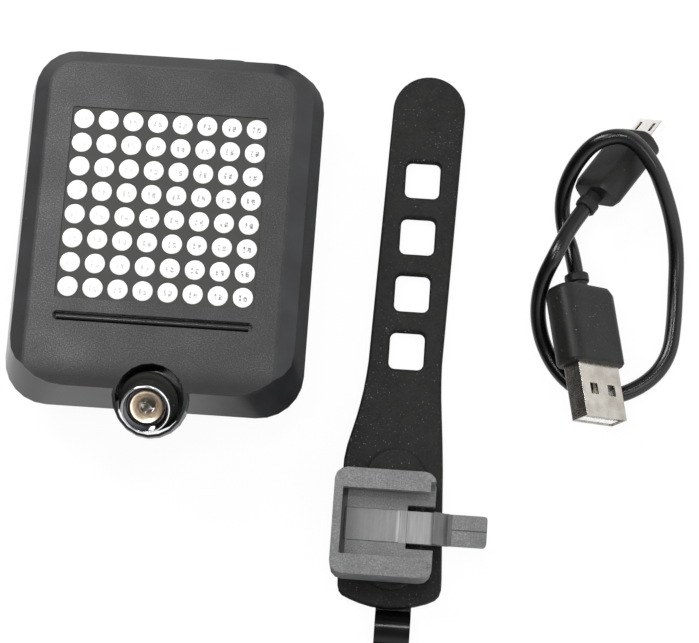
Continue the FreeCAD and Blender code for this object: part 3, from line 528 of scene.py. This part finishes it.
def to_mesh(bm, name):
    mesh = bpy.data.meshes.new(name)
    bm.to_mesh(mesh)
    bm.free()
    return mesh


def merge_points(mesh, distance_mm):
    bm = bmesh.new()
    bm.from_mesh(mesh)
    bmesh.ops.remove_doubles(bm, verts=bm.verts, dist=distance_mm * MM)
    bmesh.ops.recalc_face_normals(bm, faces=bm.faces)
    bm.to_mesh(mesh)
    bm.free()


def bridge(bm, rings):
    """Faces between neighbouring closed rings of points; returns the rings' vertices."""
    made = [[bm.verts.new(point) for point in ring] for ring in rings]
    for low, high in zip(made, made[1:]):
        for i in range(len(low)):
            bm.faces.new((low[i - 1], low[i], high[i], high[i - 1]))
    return made


def rings_mesh(name, stacks, closed_ends=True):
    """Mesh of stacked closed rings, each stack by itself."""
    bm = bmesh.new()
    for rings in stacks:
        made = bridge(bm, rings)
        if closed_ends:
            bm.faces.new(reversed(made[0]))
            bm.faces.new(made[-1])
    bmesh.ops.recalc_face_normals(bm, faces=bm.faces)
    return to_mesh(bm, name)


def turns(count):
    return [2 * math.pi * i / count for i in range(count)]


def circle(cx, cy, r, z):
    return [from_lamp(cx + r * math.cos(a), cy + r * math.sin(a), z) for a in turns(HOLE_SIDES)]


# LED matrix: mask and lenses, heights in mm above the floor

HOLE_SIDES = 32
HOLE_R = 2.1
LED_AT = [(i - 3.5) * LED_PITCH for i in range(8)]
MASK_TOP, MASK_LOW = 25.75, 23.4
MASK_HALF = 20.22
FLANGE_HALF, FLANGE_TOP = 21.8, 24.4
LENS_TOP = MASK_TOP - 0.12
LENS_R = HOLE_R - 0.01


def cell_rim(cx, cy):
    """Square round one hole, with as many points as the hole and clipped to the plate."""
    points = []
    for a in turns(HOLE_SIDES):
        to_side = LED_PITCH / 2 / max(abs(math.cos(a)), abs(math.sin(a)))
        x = max(-MASK_HALF, min(MASK_HALF, cx + math.cos(a) * to_side))
        y = max(-MASK_HALF, min(MASK_HALF, cy + math.sin(a) * to_side))
        points.append(from_lamp(x, y, MASK_TOP))
    return points


def add_mask():
    """Plate with 64 round holes, a ring of quads in each square cell, over a plain flange."""
    bm = bmesh.new()
    for cx in LED_AT:
        for cy in LED_AT:
            bridge(bm, [cell_rim(cx, cy), circle(cx, cy, HOLE_R + 0.06, MASK_TOP),
                        circle(cx, cy, HOLE_R, MASK_TOP - 0.05), circle(cx, cy, HOLE_R, MASK_LOW)])
    bmesh.ops.remove_doubles(bm, verts=bm.verts, dist=0.01 * MM)
    bmesh.ops.recalc_face_normals(bm, faces=bm.faces)
    corners = [(1, -1), (1, 1), (-1, 1), (-1, -1)]
    steps = [(MASK_HALF, MASK_TOP), (MASK_HALF, FLANGE_TOP), (FLANGE_HALF, FLANGE_TOP),
             (FLANGE_HALF, MASK_LOW), (MASK_HALF, MASK_LOW)]
    bridge(bm, [[from_lamp(r * a, r * b, z) for a, b in corners] for r, z in steps])
    piece("matrix_mask", to_mesh(bm, "matrix_mask"), "lamp", "led_mask", "mask")


def add_lenses():
    """Slightly domed frosted discs."""
    profile = [(LENS_R, MASK_LOW), (LENS_R, LENS_TOP - 0.12), (LENS_R - 0.04, LENS_TOP - 0.04),
               (LENS_R - 0.12, LENS_TOP), (1.3, LENS_TOP + 0.04), (0.6, LENS_TOP + 0.06)]
    stacks = [[circle(cx, cy, r, z) for r, z in profile] for cx in LED_AT for cy in LED_AT]
    mesh = rings_mesh("matrix_lenses", stacks)
    piece("matrix_lenses", mesh, "lamp", "led_lenses", "lens_white")


# Laser, turned about its own axis: profiles of radius and height, from the ring's front

LASER_SIDES = 64
BALL_SIDES = 32
BALL_R, BALL_HEIGHT = 1.7, -3.0
BALL_DEGREES = [-84 + 12 * i for i in range(15)]
SLEEVE = [(3.3, -12.6), (4.2, -12.6), (4.2, -6.9), (5.9, -6.9), (6.0, -6.8), (6.0, -5.05),
          (5.85, -4.9), (5.55, -4.85), (5.5, -4.75), (5.5, -4.55), (5.45, -4.5), (5.03, -4.48),
          (5.0, -4.4), (5.0, -3.2), (4.93, -3.1), (4.93, -2.95), (5.0, -2.85), (5.0, -1.1),
          (4.95, -1.0), (4.35, -1.0), (4.35, -2.9), (3.3, -2.9)]
BEZEL = [(4.35, -2.9), (4.35, -1.0), (4.9, -1.0), (4.95, -0.9), (4.95, -0.35), (4.9, -0.15),
         (4.78, -0.03), (4.66, 0.0), (4.55, -0.04), (4.48, -0.14), (4.42, -0.4), (4.0, -0.75),
         (3.62, -1.2), (3.45, -1.5), (3.38, -1.7), (3.35, -2.9)]
CONE = [(3.3, -4.1), (3.3, -1.75), (3.22, -1.68), (3.1, -1.72), (2.6, -2.25), (2.1, -2.95),
        (1.8, -3.4), (1.75, -3.5), (1.75, -4.1)]


def laser_circle(r, height, count=LASER_SIDES):
    cos, sin = math.cos(LASER_TILT), math.sin(LASER_TILT)
    points = []
    for a in turns(count):
        x, y = r * math.cos(a), r * math.sin(a)
        tilted = Vector((x, y * cos - height * sin, y * sin + height * cos))
        points.append(from_lamp(*(Vector(LASER_AT) + tilted)))
    return points


def laser_turned(name, node, slot, profile):
    """Closed turned piece; the profile goes round its section."""
    rings = [laser_circle(r, z) for r, z in profile]
    mesh = rings_mesh(name, [rings + rings[:1]], closed_ends=False)
    merge_points(mesh, 0.001)
    piece(name, mesh, "lamp", node, slot)


def add_laser():
    laser_turned("laser_sleeve", "laser_barrel", "black_metal", SLEEVE)
    laser_turned("laser_bezel", "laser_ring", "ring_chrome", BEZEL)
    laser_turned("laser_cone", "laser_reflector", "amber_metal", CONE)
    rings = [laser_circle(BALL_R * math.cos(a), BALL_HEIGHT + BALL_R * math.sin(a), BALL_SIDES)
             for a in map(math.radians, BALL_DEGREES)]
    piece("laser_ball", rings_mesh("laser_ball", [rings]), "lamp", "laser_lens", "lens_glass")


# Strap: plan in mm from the LED matrix's centre, with the pad's sides as the photo shows them

STRAP_TOP = (52.85, 31.8)
STRAP_NECK = (51.35, -24.0)
STRAP_HALF = 7.75
LEFT_SIDE = [(43.55, -24.0), (43.3, -27.0), (42.95, -30.0), (42.45, -33.0), (41.85, -36.0),
             (41.1, -39.0), (40.35, -42.0), (39.9, -45.0), (39.85, -48.0), (40.3, -69.5)]
FOOT = [(40.4, -71.4), (40.7, -72.5), (41.4, -73.3), (43.0, -74.0), (45.0, -74.7),
        (47.5, -75.3), (50.5, -75.6), (53.5, -75.4), (56.5, -74.8), (59.0, -74.0), (60.6, -73.2),
        (61.4, -72.3), (61.75, -71.0)]
RIGHT_SIDE = [(61.75, -69.0), (60.6, -46.0), (60.15, -40.0), (59.7, -35.0), (59.35, -31.0),
              (59.15, -27.5), (59.05, -24.0)]
PAD_LEFT = [(60.6, -48.0), (39.95, -48.0), (40.3, -69.5)]
PAD_RIGHT = [(61.7, -69.0)]
SEAT_X, SEAT_LOW, SEAT_HIGH, SEAT_R = 50.9, -72.0, -42.4, 6.4
# Underside, top and edge rounding of the strap's three layers
BAND_LAYER, PAD_LAYER, SEAT_LAYER = (0.0, 2.7, 0.75), (0.3, 3.0, 0.6), (1.2, 4.4, 0.7)
HOLE_ROWS = [-21.2 + 12.5 * i for i in range(4)]
STRAP_HOLE_HALF = (3.65, 4.0)
STRAP_HOLE_CORNER = 1.3
END_STEPS, CORNER_STEPS, EDGE_STEPS = 24, 5, 3


def strap_x(y):
    """The leaning strap's middle line."""
    lean = (STRAP_TOP[0] - STRAP_NECK[0]) / (STRAP_TOP[1] - STRAP_NECK[1])
    return STRAP_NECK[0] + (y - STRAP_NECK[1]) * lean


def arc(cx, cy, r, start, end, count):
    steps = [math.radians(start + (end - start) * i / count) for i in range(count + 1)]
    return [(cx + r * math.cos(a), cy + r * math.sin(a)) for a in steps]


def strap_plan():
    """Round end, straight sides, the left S-shaped flare, the foot and the slanting right side."""
    return arc(*STRAP_TOP, STRAP_HALF, 0, 180, END_STEPS) + LEFT_SIDE + FOOT + RIGHT_SIDE


def hole_plan(y):
    """Square hole with round corners."""
    reach_x, reach_y = [half - STRAP_HOLE_CORNER for half in STRAP_HOLE_HALF]
    plan = []
    for start, right, up in ((0, 1, 1), (90, -1, 1), (180, -1, -1), (270, 1, -1)):
        plan += arc(strap_x(y) + right * reach_x, y + up * reach_y, STRAP_HOLE_CORNER,
                    start, start + 90, CORNER_STEPS)
    return plan


def slab_mesh(name, plans, low, high, rounding):
    """Flat slab with rounded edges; the first plan is its outline and the others are holes."""
    data = bpy.data.curves.new(name, "CURVE")
    data.dimensions = "2D"
    data.fill_mode = "BOTH"
    data.extrude = ((high - low) / 2 - rounding) * MM
    data.bevel_depth = rounding * MM
    data.bevel_resolution = EDGE_STEPS
    data.offset = -rounding * MM
    for plan in plans:
        spline = data.splines.new("POLY")
        spline.points.add(len(plan) - 1)
        for point, (x, y) in zip(spline.points, plan):
            point.co = (*from_lamp(x, y, 0)[:2], 0.0, 1.0)
        spline.use_cyclic_u = True
    scratch = bpy.data.objects.new(name, data)
    bpy.context.scene.collection.objects.link(scratch)
    mesh = bpy.data.meshes.new_from_object(scratch)
    bpy.data.objects.remove(scratch)
    bpy.data.curves.remove(data)
    mesh.transform(Matrix.Translation((0, 0, (low + high) / 2 * MM)))
    merge_points(mesh, 0.002)
    return mesh


def joined(name, meshes):
    bm = bmesh.new()
    for mesh in meshes:
        bm.from_mesh(mesh)
        bpy.data.meshes.remove(mesh)
    return to_mesh(bm, name)


def add_strap():
    """Rubber strap with its holes, the slightly thicker pad and the raised seat of the bracket."""
    outline = [strap_plan()] + [hole_plan(y) for y in HOLE_ROWS]
    pad_plan = PAD_LEFT + FOOT + PAD_RIGHT
    seat_plan = (arc(SEAT_X, SEAT_HIGH - SEAT_R, SEAT_R, 0, 180, END_STEPS)
                 + arc(SEAT_X, SEAT_LOW + SEAT_R, SEAT_R, 180, 360, END_STEPS))
    slabs = [slab_mesh("strap_band", outline, *BAND_LAYER),
             slab_mesh("strap_pad", [pad_plan], *PAD_LAYER),
             slab_mesh("strap_seat", [seat_plan], *SEAT_LAYER)]
    piece("rubber_strap", joined("rubber_strap", slabs), "strap_mount", "strap", "strap_rubber")


# Cable: control points from the USB-A relief to the micro-USB one, in mm

CABLE = [
    (86.56, 9.87, 10.41), (83.75, 5.49, 11.49), (81.1, -0.7, 13.1), (78.5, -6.3, 9.5),
    (78.1, -11.8, 5.0), (79.9, -18.1, 2.0), (83.9, -24.3, 1.65), (89.9, -28.2, 1.65),
    (96.1, -28.1, 1.65), (103.0, -24.0, 1.65), (106.6, -18.3, 1.65), (107.25, -11.2, 1.65),
    (107.25, -4.3, 1.8), (107.1, 2.5, 3.2), (105.8, 8.6, 6.3), (103.5, 13.8, 10.5),
    (100.2, 19.6, 14.6), (94.7, 24.7, 16.8), (88.3, 23.8, 15.4), (83.9, 19.2, 11.0),
    (81.9, 13.3, 6.4), (82.9, 6.9, 3.5), (84.72, 1.85, 6.34), (85.79, -3.58, 6.87),
]
CABLE_D = 3.3
CABLE_STEPS, CABLE_ROUND = 10, 8


def add_cable():
    data = bpy.data.curves.new("charging_cable", "CURVE")
    data.dimensions = "3D"
    spline = data.splines.new("NURBS")
    spline.points.add(len(CABLE) - 1)
    for point, at in zip(spline.points, CABLE):
        point.co = (*from_lamp(*at), 1.0)
    spline.order_u = 3
    spline.use_endpoint_u = True
    spline.resolution_u = CABLE_STEPS
    data.bevel_depth = CABLE_D / 2 * MM
    data.bevel_resolution = CABLE_ROUND
    data.use_fill_caps = True
    data.materials.append(MATERIALS["cable_pvc"])
    cable = bpy.data.objects.new("charging_cable", data)
    bpy.context.scene.collection.objects.link(cable)
    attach(cable, "lead")
    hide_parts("cable")


# Stage and light, in metres

FLOOR_HALF = 1.6
FLOOR_DROP = 0.0001
FLOOR_COLOUR = (0.92, 0.92, 0.94)
GLOW_PART = 0.94
# The dim band of floor beside the lamp: where it starts and ends in x, and how dim it is
DIM_FROM, DIM_TO, DIM_LEVEL = (-0.015, 0.006), (0.03, 0.045), 0.1
WORLD_COLOUR = (0.98, 0.99, 1.0)
# The world's light: ranges of the direction's x and z, and the levels at their two ends
WORLD_X, WORLD_Z = (-0.7, 0.3, 0.04, 1.7), (0.35, 0.95, 1.0, 0.25)
# Each light's place, the point that it faces, its width and height, and its watts
LIGHTS = {
    "key": ((-0.28, 0.26, 0.40), (0, 0, 0), (0.15, 0.25), 2.0),
    "fill": ((0.35, -0.15, 0.6), (0.05, 0, 0), (0.2, 0.3), 0.7),
    "near": ((-0.12, -0.03, 0.60), (0, 0, 0), (0.1, 0.1), 0.6),
    "top": ((0.06, 0.10, 0.50), (0.07, 0, 0), (0.06, 0.06), 0.45),
}


def add_stage():
    """Floor that glows white for camera, mirror and glass rays, and takes soft shadows."""
    mesh = bpy.data.meshes.new("floor")
    corners = [(-1, -1), (1, -1), (1, 1), (-1, 1)]
    mesh.from_pydata([(FLOOR_HALF * a, FLOOR_HALF * b, 0) for a, b in corners], [],
                     [(0, 1, 2, 3)])
    floor = bpy.data.objects.new("floor", mesh)
    floor.location.z = -FLOOR_DROP
    bpy.context.scene.collection.objects.link(floor)
    material = bpy.data.materials.new("floor")
    material.use_nodes = True
    n = Nodes(material.node_tree)
    n.tree.nodes.clear()
    rays = n.node("ShaderNodeLightPath").outputs
    # mirror rays see a dim band of floor beside the lamp, whose right wall is dark in the photo
    x = n.split("Object")["X"]
    open_floor = n.math("MAXIMUM", n.map_range(x, *DIM_FROM, 1.0, DIM_LEVEL),
                        n.map_range(x, *DIM_TO, 0.0, 1.0))
    dimmer = n.math("SUBTRACT", open_floor, 1.0)
    glow = n.node("ShaderNodeEmission")
    strength = n.math("MULTIPLY_ADD", rays["Is Glossy Ray"], dimmer, 1.0)
    n.feed(glow.inputs["Strength"], strength)
    diffuse = n.node("ShaderNodeBsdfDiffuse")
    n.feed(diffuse.inputs["Color"], FLOOR_COLOUR)
    seen = n.math("MAXIMUM", rays["Is Camera Ray"], rays["Is Glossy Ray"])
    seen = n.math("MAXIMUM", seen, rays["Is Transmission Ray"])
    mixed = n.mix_shaders(n.math("MULTIPLY", seen, GLOW_PART), diffuse.outputs[0],
                          glow.outputs[0])
    n.link(mixed, n.node("ShaderNodeOutputMaterial").inputs["Surface"])
    mesh.materials.append(material)


def add_light(name, at, towards, size, power):
    data = bpy.data.lights.new(name, "AREA")
    data.shape = "RECTANGLE"
    data.size, data.size_y = size
    data.energy = power
    lamp = bpy.data.objects.new(name, data)
    lamp.location = at
    lamp.rotation_euler = (Vector(towards) - Vector(at)).to_track_quat("-Z", "Y").to_euler()
    bpy.context.scene.collection.objects.link(lamp)


def add_world():
    """White for the camera. Its light is dark at the left, bright at the right, dimmer overhead."""
    world = bpy.data.worlds.new("studio")
    world.use_nodes = True
    n = Nodes(world.node_tree)
    n.tree.nodes.clear()
    way = n.split("Generated")
    level = n.math("MULTIPLY",
                   n.map_range(way["X"], *WORLD_X, interpolation_type="SMOOTHSTEP"),
                   n.map_range(way["Z"], *WORLD_Z, interpolation_type="SMOOTHSTEP"))
    soft = n.node("ShaderNodeBackground")
    n.feed(soft.inputs["Color"], WORLD_COLOUR)
    n.feed(soft.inputs["Strength"], level)
    white = n.node("ShaderNodeBackground")
    white.inputs["Strength"].default_value = 1.0
    seen = n.node("ShaderNodeLightPath").outputs["Is Camera Ray"]
    mixed = n.mix_shaders(seen, soft.outputs[0], white.outputs[0])
    n.link(mixed, n.node("ShaderNodeOutputWorld").inputs["Surface"])
    bpy.context.scene.world = world


add_camera()
MATERIALS = make_materials()
SMOOTH = smooth_group()
dress_nodes()
add_mask()
add_lenses()
add_laser()
add_strap()
add_cable()
for node, width in EDGES.items():
    soften(NODES[node], width)
add_stage()
add_world()
for light, values in LIGHTS.items():
    add_light(light, *values)
bpy.context.scene.view_settings.view_transform = "Standard"
